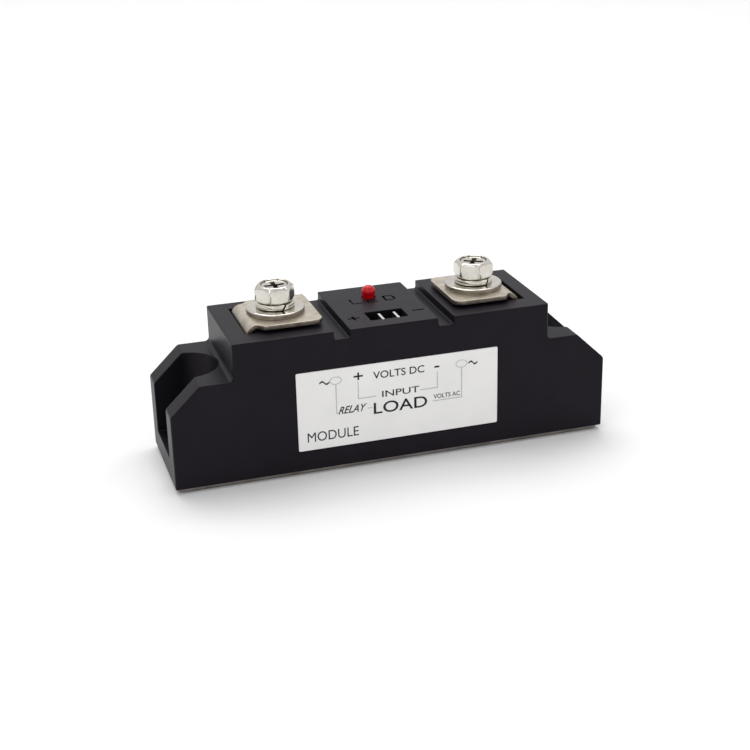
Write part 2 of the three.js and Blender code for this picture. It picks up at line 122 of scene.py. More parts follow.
def surface(
    name, dark, light, tone_mm, roughness, grain_mm, depth_mm, stretch=(1, 1, 1), **sockets
):
    """A finish whose colour drifts over tone_mm and whose fine grain changes gloss and relief."""
    material, tree_nodes, links = new_material(name)
    shader = tree_nodes["Principled BSDF"]
    tone = noise(tree_nodes, links, object_space(tree_nodes, links, tone_mm), 5.0)
    color = ramp(tree_nodes, links, tone, [(0.32, dark), (0.68, light)])
    links.new(color, shader.inputs["Base Color"])
    grain = noise(tree_nodes, links, object_space(tree_nodes, links, grain_mm, stretch))
    links.new(spread(tree_nodes, links, grain, *roughness), shader.inputs["Roughness"])
    bump(tree_nodes, links, grain, depth_mm, shader)
    set_sockets(shader, {key.replace("_", " "): value for key, value in sockets.items()})
    return material


def banded(name, base, bands, start_mm, end_mm, roughness):
    """A coating with painted rings; bands are (from, to, colour) as shares of its length in X."""
    material, tree_nodes, links = new_material(name)
    shader = tree_nodes["Principled BSDF"]
    place = tree_nodes.new("ShaderNodeSeparateXYZ")
    links.new(object_space(tree_nodes, links, 1.0), place.inputs["Vector"])
    along = spread(tree_nodes, links, place.outputs["X"], 0.0, 1.0, start_mm, end_mm)
    stops = [(0.0, base)]
    for low, high, color in bands:
        stops += [(low, color), (high, base)]
    links.new(ramp(tree_nodes, links, along, stops, "CONSTANT"), shader.inputs["Base Color"])
    grain = noise(tree_nodes, links, object_space(tree_nodes, links, 0.4))
    links.new(spread(tree_nodes, links, grain, *roughness), shader.inputs["Roughness"])
    bump(tree_nodes, links, grain, 0.02, shader)
    return material


def circuit_board_material():
    """Green solder mask over copper tracks that run in steps along the board."""
    material, tree_nodes, links = new_material("solder_mask")
    shader = tree_nodes["Principled BSDF"]
    tracks = tree_nodes.new("ShaderNodeTexBrick")
    set_sockets(
        tracks,
        {
            "Scale": 1.0,
            "Mortar Size": 0.06,
            "Brick Width": 2.6,
            "Row Height": 0.7,
            "Color1": rgba((0.014, 0.11, 0.04)),
            "Color2": rgba((0.012, 0.13, 0.045)),
            "Mortar": rgba((0.03, 0.2, 0.07)),
        },
    )
    links.new(object_space(tree_nodes, links, 3.0), tracks.inputs["Vector"])
    links.new(tracks.outputs["Color"], shader.inputs["Base Color"])
    bump(tree_nodes, links, tracks.outputs["Fac"], 0.03, shader, 0.6)
    grain = noise(tree_nodes, links, object_space(tree_nodes, links, 0.5))
    links.new(spread(tree_nodes, links, grain, 0.3, 0.42), shader.inputs["Roughness"])
    return material


def lamp_material():
    """Tinted clear resin, a little cloudy, that glows where light passes through it."""
    material, tree_nodes, links = new_material("red_resin")
    shader = tree_nodes["Principled BSDF"]
    cloud = noise(tree_nodes, links, object_space(tree_nodes, links, 0.9))
    stops = [(0.3, (0.42, 0.0, 0.004)), (0.7, (0.54, 0.001, 0.008))]
    color = ramp(tree_nodes, links, cloud, stops)
    links.new(color, shader.inputs["Base Color"])
    links.new(spread(tree_nodes, links, cloud, 0.06, 0.12), shader.inputs["Roughness"])
    bump(tree_nodes, links, cloud, 0.01, shader)
    set_sockets(
        shader,
        {
            "Subsurface Weight": 0.12,
            "Subsurface Radius": (1.0, 0.15, 0.1),
            "Subsurface Scale": 1.2 * MM,
            "Specular IOR Level": 0.28,
            "Coat Weight": 0.08,
            "Coat Roughness": 0.04,
        },
    )
    return material


RESISTOR_ENDS = (-13.6, -5.2)  # X of the ends of the snubber resistor's body

# By slot, with label_ink and label_line for the print and two finishes of painted shade: one for
# the screws' recesses and dish walls, one for the sides of straps and washers. After the name:
# darkest and lightest colour, size of the drift of tone, least and greatest roughness, size of
# the grain and its relief; sizes in mm.
MATERIALS = {
    "black_moulding": surface(
        "black_moulding", (0.0042, 0.0036, 0.0056), (0.0062, 0.0054, 0.0078), 9.0,
        (0.33, 0.46), 0.22, 0.012, Specular_IOR_Level=0.145,
        Specular_Tint=(0.97, 0.9, 1.0, 1.0),
    ),
    "plate_alloy": surface(
        "milled_alloy", (0.19, 0.172, 0.155), (0.31, 0.285, 0.26), 5.0,
        (0.34, 0.52), 0.12, 0.008, (40, 1, 1), Metallic=1.0,
    ),
    "sealant": surface(
        "sealant", (0.42, 0.41, 0.38), (0.52, 0.51, 0.47), 3.0, (0.55, 0.75), 0.5, 0.05,
    ),
    "label_film": surface(
        "label_film", (0.775, 0.773, 0.757), (0.82, 0.818, 0.802), 12.0,
        (0.36, 0.46), 0.3, 0.002,
    ),
    # Painted shade and painted reflection: darker metal for the shade in the screws' cross recesses
    # and the dark reflection on the walls of their dishes.
    "painted_recess_shade": surface(
        "painted_recess_shade", (0.07, 0.055, 0.045), (0.13, 0.11, 0.09), 0.8, (0.3, 0.5), 0.2, 0.01,
        Metallic=1.0,
    ),
    "label_ink": surface(
        "label_ink", (0.004, 0.004, 0.005), (0.012, 0.012, 0.014), 1.2, (0.4, 0.6), 0.2, 0.003,
        Specular_IOR_Level=0.3,
    ),
    "label_line": surface(
        "label_line_ink", (0.36, 0.37, 0.38), (0.47, 0.48, 0.49), 1.5, (0.4, 0.6), 0.2, 0.003,
    ),
    "red_lens": lamp_material(),
    "tinned_wire": surface(
        "bright_tin", (0.74, 0.73, 0.70), (0.86, 0.85, 0.82), 1.6,
        (0.16, 0.3), 0.25, 0.006, (1, 1, 6), Metallic=1.0,
    ),
    "black_epoxy": surface(
        "black_epoxy", (0.011, 0.011, 0.012), (0.018, 0.018, 0.02), 2.0,
        (0.48, 0.66), 0.12, 0.015,
    ),
    "circuit_board": circuit_board_material(),
    "capacitor_case": surface(
        "capacitor_case", (0.62, 0.36, 0.02), (0.74, 0.45, 0.035), 4.0, (0.32, 0.46), 0.3, 0.012,
    ),
    "resistor_coat": banded(
        "banded_coat", (0.2, 0.38, 0.55),
        [(0.2, 0.27, (0.15, 0.05, 0.01)), (0.36, 0.43, (0.01, 0.01, 0.01)),
         (0.52, 0.59, (0.6, 0.05, 0.02)), (0.78, 0.85, (0.45, 0.3, 0.03))],
        *RESISTOR_ENDS, (0.3, 0.45),
    ),
    "varistor_coat": surface(
        "varistor_coat", (0.012, 0.1, 0.28), (0.02, 0.14, 0.36), 2.5, (0.28, 0.42), 0.6, 0.04,
    ),
    "white_ceramic": surface(
        "white_ceramic", (0.8, 0.79, 0.75), (0.88, 0.87, 0.83), 2.0, (0.5, 0.65), 0.15, 0.01,
    ),
    "silicone": surface(
        "silicone", (0.58, 0.63, 0.65), (0.66, 0.7, 0.72), 6.0, (0.18, 0.3), 2.5, 0.08,
        Transmission_Weight=0.35, IOR=1.41,
    ),
    "copper": surface(
        "copper", (0.55, 0.24, 0.13), (0.7, 0.34, 0.2), 2.4,
        (0.26, 0.42), 0.2, 0.006, (8, 1, 1), Metallic=1.0,
    ),
    "silicon_chip": surface(
        "silicon_chip", (0.16, 0.17, 0.2), (0.21, 0.225, 0.26), 1.5,
        (0.12, 0.2), 0.3, 0.002, Metallic=0.6,
    ),
    "strap_plating": surface(
        "strap_nickel", (0.42, 0.38, 0.31), (0.58, 0.532, 0.448), 2.2,
        (0.28, 0.46), 0.11, 0.01, (1, 14, 1), Metallic=1.0,
    ),
    # Painted shade: darker metal for the sides of the straps and the rims of the washers, where
    # they face the dark housing and the gap beneath.
    "painted_edge_shade": surface(
        "painted_edge_shade", (0.2, 0.17, 0.14), (0.34, 0.295, 0.245), 1.4,
        (0.3, 0.5), 0.12, 0.012, Metallic=1.0,
    ),
    "zinc_steel": surface(
        "zinc_plate", (0.52, 0.53, 0.55), (0.66, 0.67, 0.68), 2.2,
        (0.26, 0.4), 0.2, 0.01, Metallic=1.0,
    ),
    "bright_plating": surface(
        "bright_nickel", (0.58, 0.557, 0.5), (0.7, 0.678, 0.612), 2.0,
        (0.09, 0.19), 0.7, 0.012, Metallic=1.0,
    ),
}


# ---------------------------------------------------------------- mesh tools
def link_mesh(name, mesh):
    obj = bpy.data.objects.new(name, mesh)
    bpy.context.scene.collection.objects.link(obj)
    return obj


def to_object(name, bm):
    """A new object in metres from a bmesh in millimetres, with its faces turned outwards."""
    bmesh.ops.recalc_face_normals(bm, faces=bm.faces[:])
    bmesh.ops.scale(bm, vec=(MM, MM, MM), verts=bm.verts[:])
    mesh = bpy.data.meshes.new(name)
    bm.to_mesh(mesh)
    bm.free()
    return link_mesh(name, mesh)


def bake(obj):
    """Applies the object's modifiers to its mesh."""
    evaluated = obj.evaluated_get(bpy.context.evaluated_depsgraph_get())
    mesh = bpy.data.meshes.new_from_object(evaluated)
    obj.modifiers.clear()
    obj.data = mesh


def carve(obj, cutter):
    """Cuts a closed object out of obj and deletes it."""
    modifier = obj.modifiers.new("carve", "BOOLEAN")
    modifier.operation = "DIFFERENCE"
    modifier.solver = "MANIFOLD"
    modifier.object = cutter
    bake(obj)
    bpy.data.objects.remove(cutter)


def shade(obj, angle):
    """Smooth shading that stays crisp at edges, with flat faces kept flat."""
    obj.data.shade_smooth()
    obj.data.set_sharp_from_angle(angle=radians(angle))
    modifier = obj.modifiers.new("weighted", "WEIGHTED_NORMAL")
    modifier.keep_sharp = True
    modifier.weight = 100


def fit_out(obj, node, body="module", angle=28):
    """Finishes a piece: shading, the material of its CAD node's slot, its body, and hides the CAD
    node it stands for.
    """
    shade(obj, angle)
    obj.data.materials.clear()
    obj.data.materials.append(MATERIALS[SLOTS[node]])
    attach(obj, body)
    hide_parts(node)


def second_finish(obj, material, chosen):
    """Gives the faces for which chosen(face) holds another material."""
    obj.data.materials.append(MATERIALS[material])
    for face in obj.data.polygons:
        face.material_index = 1 if chosen(face) else 0


def cad_bmesh(node):
    """A CAD node in millimetres, welded, with each flat face in as few pieces as possible."""
    bm = bmesh.new()
    bm.from_mesh(nodes[node].data)
    bmesh.ops.scale(bm, vec=(1 / MM,) * 3, verts=bm.verts[:])
    bmesh.ops.remove_doubles(bm, verts=bm.verts[:], dist=0.002)
    bmesh.ops.dissolve_limit(
        bm, angle_limit=radians(0.4), use_dissolve_boundaries=False,
        verts=bm.verts[:], edges=bm.edges[:],
    )
    return bm


def refined(node, name, width, weight=None, segments=3, clamp=True, min_angle=25):
    """A CAD node whose edges over min_angle are rounded by width times weight(midpoint)."""
    bm = cad_bmesh(node)
    layer = bm.edges.layers.float.new("bevel_weight_edge")
    for edge in bm.edges:
        if len(edge.link_faces) != 2 or edge.calc_face_angle(0.0) < radians(min_angle):
            continue
        middle = (edge.verts[0].co + edge.verts[1].co) / 2
        edge[layer] = 1.0 if weight is None else weight(middle)
    obj = to_object(name, bm)
    bevel = obj.modifiers.new("round", "BEVEL")
    bevel.limit_method = "WEIGHT"
    bevel.width = width * MM
    bevel.segments = segments
    bevel.use_clamp_overlap = clamp
    bevel.miter_outer = "MITER_SHARP"
    bake(obj)
    return obj


def skin(bm, rings, closed=False):
    """Joins rings of points, all of one length, with quads. An open stack gets end caps."""
    rows = [[bm.verts.new(point) for point in ring] for ring in rings]
    pairs = list(zip(rows, rows[1:]))
    if closed:
        pairs.append((rows[-1], rows[0]))
    for low, high in pairs:
        for i in range(len(low)):
            j = (i + 1) % len(low)
            bm.faces.new((low[i], low[j], high[j], high[i]))
    if not closed:
        bm.faces.new(rows[0][::-1])
        bm.faces.new(rows[-1])
    return rows


def arc(centre, radius, start, end, steps):
    """Points of an arc in a plane, angles in degrees."""
    points = []
    for i in range(steps + 1):
        angle = radians(start + (end - start) * i / steps)
        points.append((centre[0] + radius * cos(angle), centre[1] + radius * sin(angle)))
    return points


def prism_object(name, loop, z0, z1):
    """A closed upright prism over a loop of (x, y) points."""
    bm = bmesh.new()
    skin(bm, [[(x, y, z) for x, y in loop] for z in (z0, z1)])
    return to_object(name, bm)


def turned_ring(name, profile, steps, centre=(0, 0)):
    """A closed turned body from a loop of (radius, height) points."""
    bm = bmesh.new()
    rings = []
    for r, z in profile:
        ring = []
        for i in range(steps):
            angle = 2 * pi * i / steps
            ring.append((centre[0] + r * cos(angle), centre[1] + r * sin(angle), z))
        rings.append(ring)
    skin(bm, rings, closed=True)
    return to_object(name, bm)


def rounded_loop(x0, x1, y0, y1, radius, steps=4):
    """A rectangle's corners as arcs, anticlockwise."""
    loop = []
    corners = ((x1, y1, 0), (x0, y1, 90), (x0, y0, 180), (x1, y0, 270))
    for x, y, start in corners:
        cx = x - radius if x == x1 else x + radius
        cy = y - radius if y == y1 else y + radius
        loop += arc((cx, cy), radius, start, start + 90, steps)
    return loop


# ---------------------------------------------------------------- housing
BLOCK_TOP = 33.4
ENGRAVING = 0.45


def housing_rounding(middle):
    """How far an edge of the moulding is rounded, in mm, by the place of its midpoint."""
    x, y, z = abs(middle.x), abs(middle.y), middle.z
    in_room = x < 35.0 and y < 11.9 and z < 29.6
    on_bottom_rim = z < 1.3 and (x > 50.5 or y > 13.5)
    beside_plate = z < 3.6
    round_sticker = middle.y < -13.3 and 5.6 < z < 25.1 and -23.3 < middle.x < 24.7
    in_top_openings = x < 34 and y < 9.8
    in_groove = 10 < x < 14.2
    on_top = z > BLOCK_TOP - 0.1
    in_ear_slot = x > 37 and y < 7.8
    at_screw_hole = z < 6.5 and y < 3.4
    if in_room:
        return 0.0
    if beside_plate:
        return 0.22 if on_bottom_rim else 0.0
    if round_sticker:
        return 0.055
    if in_top_openings and (on_top or z < 31 or not in_groove):
        return 0.14 if on_top else 0.0
    if in_groove and z > 31:
        return 0.7 if on_top else 0.45
    if in_ear_slot:
        return 0.09 if at_screw_hole else 0.2
    return 0.45


def plus_loop(x, y, arm_x, arm_y, half):
    """Outline of a plus sign with bars twice half wide."""
    loop = []
    for sx, sy in ((1, 1), (-1, 1), (-1, -1), (1, -1)):
        corner = [
            (x + sx * arm_x, y + sy * half), (x + sx * half, y + sy * half),
            (x + sx * half, y + sy * arm_y),
        ]
        loop += corner if sx * sy > 0 else corner[::-1]
    return loop


def comb_loop(x0, x1, y0, y1, bars, stroke):
    """A stem with bars on its right, their lower edges at bars: an L has one, an E three."""
    loop = [(x0, y0), (x1, y0)]
    for below, low in zip(bars, bars[1:]):
        top = below + stroke
        loop += [(x1, top), (x0 + stroke, top), (x0 + stroke, low), (x1, low)]
    if len(bars) == 1:
        loop += [(x1, y0 + stroke), (x0 + stroke, y0 + stroke), (x0 + stroke, y1)]
    else:
        loop.append((x1, y1))
    return loop + [(x0, y1)]


def mark_loops():
    """Loops of the marks moulded into the top: L, E, plus and minus."""
    stroke, sign = 0.45, 0.6
    minus_y = -7.0
    return {
        "l": comb_loop(-5.14, -2.4, 2.0, 5.4, [2.0], stroke),
        "e": comb_loop(-1.4, 1.2, 1.85, 5.1, [1.85, 3.25, 4.68], stroke),
        "plus": plus_loop(-7.5, -7.05, 1.4, 1.25, sign / 2),
        "minus": [(6.4, minus_y), (9.2, minus_y), (9.2, minus_y + sign), (6.4, minus_y + sign)],
    }


def d_cutter(z0, z1):
    """The letter D as a closed band of constant width."""
    stroke, bend = 0.52, 1.35
    x0, x1, y0, y1 = 2.8, 5.55, 1.85, 5.2

    def outline(inset):
        r = bend - inset
        loop = [(x0 + inset, y0 + inset)]
        loop += arc((x1 - bend, y0 + bend), r, 270, 360, 6)
        loop += arc((x1 - bend, y1 - bend), r, 0, 90, 6)
        loop.append((x0 + inset, y1 - inset))
        return loop

    outer, inner = outline(0), outline(stroke)
    bm = bmesh.new()
    corners = ((outer, z0), (outer, z1), (inner, z1), (inner, z0))
    skin(bm, [[(x, y, z) for x, y in loop] for loop, z in corners], closed=True)
    return to_object("cutter_d", bm)


def make_housing():
    """The moulding with rounded edges and its marks cut into the top."""
    housing = refined(
        "housing", "housing_moulding", 1.0, housing_rounding, segments=4, clamp=False, min_angle=22
    )
    low, high = BLOCK_TOP - ENGRAVING, BLOCK_TOP + 1
    for key, loop in mark_loops().items():
        carve(housing, prism_object("cutter_" + key, loop, low, high))
    carve(housing, d_cutter(low, high))
    fit_out(housing, "housing")


# ---------------------------------------------------------------- label
INK = 0.02  # how far the print stands off the sticker, and reaches into it


def label_mm():
    """The sticker's extents in X and Z, and its front and back in Y."""
    low, high = box_mm("front_label")
    return low[0], high[0], low[2], high[2], low[1], high[1]


def make_label():
    """A sticker with rounded corners and a soft edge."""
    x0, x1, z0, z1, front, back = label_mm()
    corner, edge = 0.35, 0.05
    bm = bmesh.new()
    outer = rounded_loop(x0, x1, z0, z1, corner)
    inner = rounded_loop(x0 + edge, x1 - edge, z0 + edge, z1 - edge, corner - edge)
    rings = [
        [(x, back, z) for x, z in outer],
        [(x, front + edge, z) for x, z in outer],
        [(x, front, z) for x, z in inner],
    ]
    skin(bm, rings)
    fit_out(to_object("label_sticker", bm), "front_label")


def label_point(u, v):
    """X and Z on the sticker, from shares of its width and height across and down."""
    x0, x1, z0, z1 = label_mm()[:4]
    return x0 + u * (x1 - x0), z1 - v * (z1 - z0)


def add_flat(bm, loop):
    """A thin printed shape on the label over a loop of (x, z) points."""
    front = label_mm()[4]
    skin(bm, [[(x, y, z) for x, z in loop] for y in (front + INK, front - INK)])


def add_stroke(bm, points, width):
    """A printed line through the points, its corners mitred."""
    normals = []
    for (xa, za), (xb, zb) in zip(points, points[1:]):
        normals.append(Vector((za - zb, xb - xa)).normalized())
    left, right = [], []
    for i, (x, z) in enumerate(points):
        sides = normals[max(i - 1, 0):i + 1]
        across = sum(sides, Vector((0, 0)))
        across *= width / 2 * len(sides) / across.length_squared
        left.append((x + across.x, z + across.y))
        right.append((x - across.x, z - across.y))
    add_flat(bm, left + right[::-1])


def add_circle(bm, centre, radius, width):
    """A printed ring, lower than it is wide by a share of its radius."""
    flattening = 0.32
    steps = 48
    front = label_mm()[4]
    around = [2 * pi * i / steps for i in range(steps)]
    inner = radius - width
    rings = []
    for r, y in (
        (radius, front + INK), (radius, front - INK), (inner, front - INK), (inner, front + INK)
    ):
        high = r - flattening * radius
        rings.append([(centre[0] + r * cos(a), y, centre[1] + high * sin(a)) for a in around])
    skin(bm, rings, closed=True)


def add_wave(bm, centre, span, swing, width):
    """A printed alternating-current sign, its swing fading towards its ends."""
    upper, lower = [], []
    steps = 24
    least = 0.35
    for i in range(steps + 1):
        t = i / steps
        x = centre[0] + (t - 0.5) * span
        z = centre[1] + swing * sin(2 * pi * t) * (least + (1 - least) * sin(pi * t))
        upper.append((x, z + width / 2))
        lower.append((x, z - width / 2))
    add_flat(bm, lower + upper[::-1])


def add_text(bm, text, u0, u1, v, height, weight=0.0, slant=0.0):
    """Printed letters fitted between u0 and u1 and height millimetres high, centred on v."""
    curve = bpy.data.curves.new("lettering", "FONT")
    curve.body = text
    curve.shear = slant
    curve.offset = weight
    curve.resolution_u = 5
    letters = bpy.data.objects.new("lettering", curve)
    bpy.context.scene.collection.objects.link(letters)
    mesh = bpy.data.meshes.new_from_object(
        letters.evaluated_get(bpy.context.evaluated_depsgraph_get())
    )
    bpy.data.objects.remove(letters)
    xs = [vert.co.x for vert in mesh.vertices]
    ys = [vert.co.y for vert in mesh.vertices]
    left, middle = label_point(u0, v)
    right = label_point(u1, v)[0]
    scale_x = (right - left) / (max(xs) - min(xs))
    scale_z = height / (max(ys) - min(ys))
    back = label_mm()[4] + INK
    flat = bmesh.new()
    flat.from_mesh(mesh)
    bpy.data.meshes.remove(mesh)
    bmesh.ops.remove_doubles(flat, verts=flat.verts[:], dist=1e-5)
    for vert in flat.verts:
        x = left + (vert.co.x - min(xs)) * scale_x
        z = middle + (vert.co.y - (max(ys) + min(ys)) / 2) * scale_z
        vert.co = (x, back, z)
    made = bmesh.ops.extrude_face_region(flat, geom=flat.faces[:])
    moved = [item for item in made["geom"] if isinstance(item, bmesh.types.BMVert)]
    bmesh.ops.translate(flat, verts=moved, vec=(0, -2 * INK, 0))
    whole = bpy.data.meshes.new("lettering")
    flat.to_mesh(whole)
    flat.free()
    bm.from_mesh(whole)
    bpy.data.meshes.remove(whole)


# Places on the sticker are shares of its width and height, across and down; sizes are in mm.
WORDS = [  # left, right, middle, height, weight, slant
    ("LOAD", 0.372, 0.64, 0.578, 2.75, 0.008, 0),
    ("INPUT", 0.415, 0.6, 0.405, 1.5, 0.006, 0),
    ("VOLTS DC", 0.373, 0.627, 0.151, 1.75, 0.008, 0),
    ("RELAY", 0.198, 0.339, 0.54, 1.75, 0.012, 0.45),
    ("VOLTS AC", 0.672, 0.807, 0.535, 1.1, 0.008, 0),
    ("MODULE", 0.044, 0.295, 0.834, 2.3, 0, 0),
]
DIAGRAM_LINES = [
    [(0.19, 0.2), (0.19, 0.57), (0.203, 0.57)],
    [(0.298, 0.2), (0.298, 0.42), (0.385, 0.42)],
    [(0.692, 0.21), (0.692, 0.42), (0.605, 0.42)],
    [(0.815, 0.205), (0.815, 0.59), (0.668, 0.59)],
    [(0.342, 0.56), (0.364, 0.56)],
]
SIGN_STROKE = 0.4
LINE_STROKE = 0.2


def make_print():
    """Terminal diagram in dark ink with thin grey lines."""
    dark = bmesh.new()
    for word in WORDS:
        add_text(dark, *word)
    add_flat(dark, plus_loop(*label_point(0.3, 0.132), 1.08, 0.9, SIGN_STROKE / 2))
    add_stroke(dark, [label_point(0.678, 0.15), label_point(0.702, 0.15)], 0.42)
    add_wave(dark, label_point(0.135, 0.158), 2.3, 0.42, SIGN_STROKE)
    add_wave(dark, label_point(0.873, 0.16), 2.2, 0.42, SIGN_STROKE)
    fine = bmesh.new()
    for u, v in ((0.19, 0.148), (0.815, 0.155)):
        add_circle(fine, label_point(u, v), 1.4, 0.17)
    for run in DIAGRAM_LINES:
        add_stroke(fine, [label_point(u, v) for u, v in run], LINE_STROKE)
    for name, bm, ink in (("label_print", dark, "label_ink"), ("label_lines", fine, "label_line")):
        obj = to_object(name, bm)
        obj.data.materials.append(MATERIALS[ink])
        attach(obj, "module")


# ---------------------------------------------------------------- terminals
TERMINAL_X = 23.6
STRAP_TOP = 35.0
WASHER_TOP = 36.2
SPRING_TOP = 37.5
STRAP_FREE_END = {"left": 14.8, "right": 15.8}
STRAP_FACE = {"left": 32.2, "right": 31.8}
STRAP_FOOT_END = 25.0
STRAP_BEND = 2.6
STRAP_THICKNESS = 1.1
STRAP_CORNER = 2.2
STRAP_EDGE = 0.2
STRAP_HALF_WIDTH = 9.2
STRAP_HALF_WAIST = 7.4
STRAP_HALF_LEG = 7.75
STRAP_BORE = 2.75
PAD_TOP = 4.0

# An M5 screw and its nut.
FLATS = 8.0
HEAD_HEIGHT = 3.9
PITCH = 0.8
MINOR_RADIUS = 2.05
MAJOR_RADIUS = 2.45


def strap_half_width(x, free_end):
    """Half the strap's width, x along it from the middle of the module, corners rounded."""
    turns = [
        (0, STRAP_HALF_WIDTH), (28.2, STRAP_HALF_WIDTH), (29.4, STRAP_HALF_WAIST),
        (29.9, STRAP_HALF_WAIST), (30.8, STRAP_HALF_LEG), (200, STRAP_HALF_LEG),
    ]

    def sharp(t):
        for (x0, w0), (x1, w1) in zip(turns, turns[1:]):
            if x0 <= t <= x1:
                return w0 + (w1 - w0) * (t - x0) / (x1 - x0)
        return turns[-1][1]

    # The notch's corners are eased by an average over a short way to each side.
    reach, samples = 0.35, range(-4, 5)
    eased = sum(sharp(x + reach * k / samples[-1]) for k in samples) / len(samples)
    short = max(STRAP_CORNER - (x - free_end), 0)
    return eased - STRAP_CORNER + sqrt(STRAP_CORNER**2 - short**2)


def strap_path(hand):
    """Stations down the middle of the strap: x, z, outward normal in x and z, half width."""
    free_end, face = STRAP_FREE_END[hand], STRAP_FACE[hand]
    half = STRAP_THICKNESS / 2
    middle = STRAP_BEND - half
    bend_x = face - STRAP_BEND
    high, low = STRAP_TOP - STRAP_BEND, PAD_TOP + STRAP_BEND

    def bend_station(centre_z, angle, width):
        across, up = cos(angle), sin(angle)
        return bend_x + middle * across, centre_z + middle * up, across, up, width

    # The flat top, closer together round the corners and along the notch.
    flat = [free_end + d for d in (0.25, 0.45, 0.7, 1.0, 1.35, 1.8, STRAP_CORNER)]
    straight, notch, steps = flat[-1], 27.0, 8
    flat += [straight + (notch - straight) * i / steps for i in range(1, steps + 1)]
    flat += [x for x in (27.4, 27.9, 28.1, 28.3, 28.6, 28.9, 29.1) if x < bend_x - 0.05]
    path = [(x, STRAP_TOP - half, 0, 1, strap_half_width(x, free_end)) for x in flat]
    # The upper bend, the leg, the lower bend and the foot on the copper pad.
    steps = 16
    for i in range(steps + 1):
        turned = pi / 2 * i / steps
        width = strap_half_width(bend_x + middle * turned, free_end)
        path.append(bend_station(high, pi / 2 - turned, width))
    leg = path[-1][4]
    steps = 8
    path += [(face - half, high - (high - low) * i / steps, 1, 0, leg) for i in range(1, steps)]
    steps = 12
    path += [bend_station(low, -pi / 2 * i / steps, leg) for i in range(steps + 1)]
    steps = 4
    for i in range(1, steps + 1):
        x = bend_x - (bend_x - STRAP_FOOT_END) * i / steps
        path.append((x, PAD_TOP + half, 0, -1, leg))
    return path


def make_strap(hand, side):
    """A stamped and bent strap with rolled edges, round corners and a relief notch at its bend."""
    half = STRAP_THICKNESS / 2
    free_end = STRAP_FREE_END[hand]

    def section(station, inset=0.0):
        """A rounded rectangle across the strap, drawn in by inset."""
        x, z, nx, nz, width = station
        wide, high = width - inset, half - inset
        loop = rounded_loop(-wide, wide, -high, high, max(STRAP_EDGE - inset, 0.02), 3)
        return [(side * (x + nx * v), u, z + nz * v) for u, v in loop]

    rings = []
    for angle in (80, 60, 40, 20):
        turn = radians(angle)
        x = free_end + STRAP_EDGE * (1 - sin(turn))
        station = (x, STRAP_TOP - half, 0, 1, strap_half_width(x, free_end))
        rings.append(section(station, STRAP_EDGE * (1 - cos(turn))))
    rings += [section(station) for station in strap_path(hand)]
    bm = bmesh.new()
    skin(bm, rings)
    obj = to_object(hand + "_strap", bm)
    bore = arc((side * TERMINAL_X, 0), STRAP_BORE, 0, 360, 64)[:-1]
    carve(obj, prism_object("cutter_bore", bore, STRAP_TOP - 2, STRAP_TOP + 1))
    fit_out(obj, hand + "_terminal_strap", angle=35)

    # Painted shade on the strap's side faces and on the sides of its flat top.
    def gets_edge_shade(face):
        in_flat = face.center.z > (STRAP_TOP - STRAP_THICKNESS) * MM
        return abs(face.normal.y) > 0.5 or in_flat and abs(face.normal.z) < 0.5

    second_finish(obj, "painted_edge_shade", gets_edge_shade)


def directions(turn):
    """Angles round a hexagon with a flat facing turn degrees, crowded towards its corners."""
    near = (5, 10, 15, 20, 25, 27.5, 28.4, 29.2)
    sector = (-30, *(-a for a in reversed(near)), 0, *near)
    return [radians(turn + 60 * k + a) for k in range(6) for a in sector]


def hexagon_radius(angle, turn, corner=0.15):
    """Distance to a hexagon's side in one direction, its corners rounded."""
    offset = abs((degrees(angle) - turn + 30) % 60 - 30)
    reach = (FLATS / 2 - corner) / cos(radians(30))
    tangent = degrees(atan(reach * 0.5 / (FLATS / 2)))
    if offset <= tangent:
        return FLATS / 2 / cos(radians(offset))
    b = radians(30 - offset)
    return reach * cos(b) + sqrt(max(corner**2 - (reach * sin(b)) ** 2, 0))


def thread_radius(angle, z):
    """Radius of a right-hand screw thread with narrow flats at its root and crest."""
    phase = (z / PITCH - angle / (2 * pi)) % 1.0
    rise = abs(2 * phase - 1)
    root = 0.14
    share = min(max((rise - root) / (1 - 2 * root), 0), 1)
    return MINOR_RADIUS + (MAJOR_RADIUS - MINOR_RADIUS) * share


def ring_at(centre, angles, radius, z):
    """One ring of points; radius and z may be functions of the direction."""
    ring = []
    for angle in angles:
        r = radius(angle) if callable(radius) else radius
        height = z(angle) if callable(z) else z
        ring.append((centre + r * cos(angle), r * sin(angle), height))
    return ring


def soften(bm, rows, indices, width):
    """Rounds the edges that run along the given rings."""
    edges = set()
    for index in indices:
        row = rows[index]
        for i, vert in enumerate(row):
            after = row[(i + 1) % len(row)]
            edges.update(e for e in vert.link_edges if e.other_vert(vert) is after)
    bmesh.ops.bevel(
        bm, geom=list(edges), offset=width, offset_type="OFFSET", segments=3,
        profile=0.5, affect="EDGES", clamp_overlap=True,
    )


HEAD_TURN = {"left": -88, "right": -121}  # where a flat of each head faces, in degrees


def cross_cutter(centre, turn, top):
    """A tapering cross that leaves the driver's recess."""
    levels = (  # height, length and half thickness of the arms
        (top - 2.3, 0.8, 0.3), (top - 1.8, 1.8, 0.44), (top + 0.4, 2.5, 0.6),
    )
    loops = []
    for z, reach, thin in levels:
        loop = []
        for k in range(4):
            spin = radians(turn + 90 * k)
            for u, v in ((reach, -thin), (reach, thin), (thin, thin)):
                loop.append(
                    (centre + u * cos(spin) - v * sin(spin), u * sin(spin) + v * cos(spin), z)
                )
        loops.append(loop)
    cutter = bmesh.new()
    skin(cutter, loops)
    return to_object("cutter_cross", cutter)


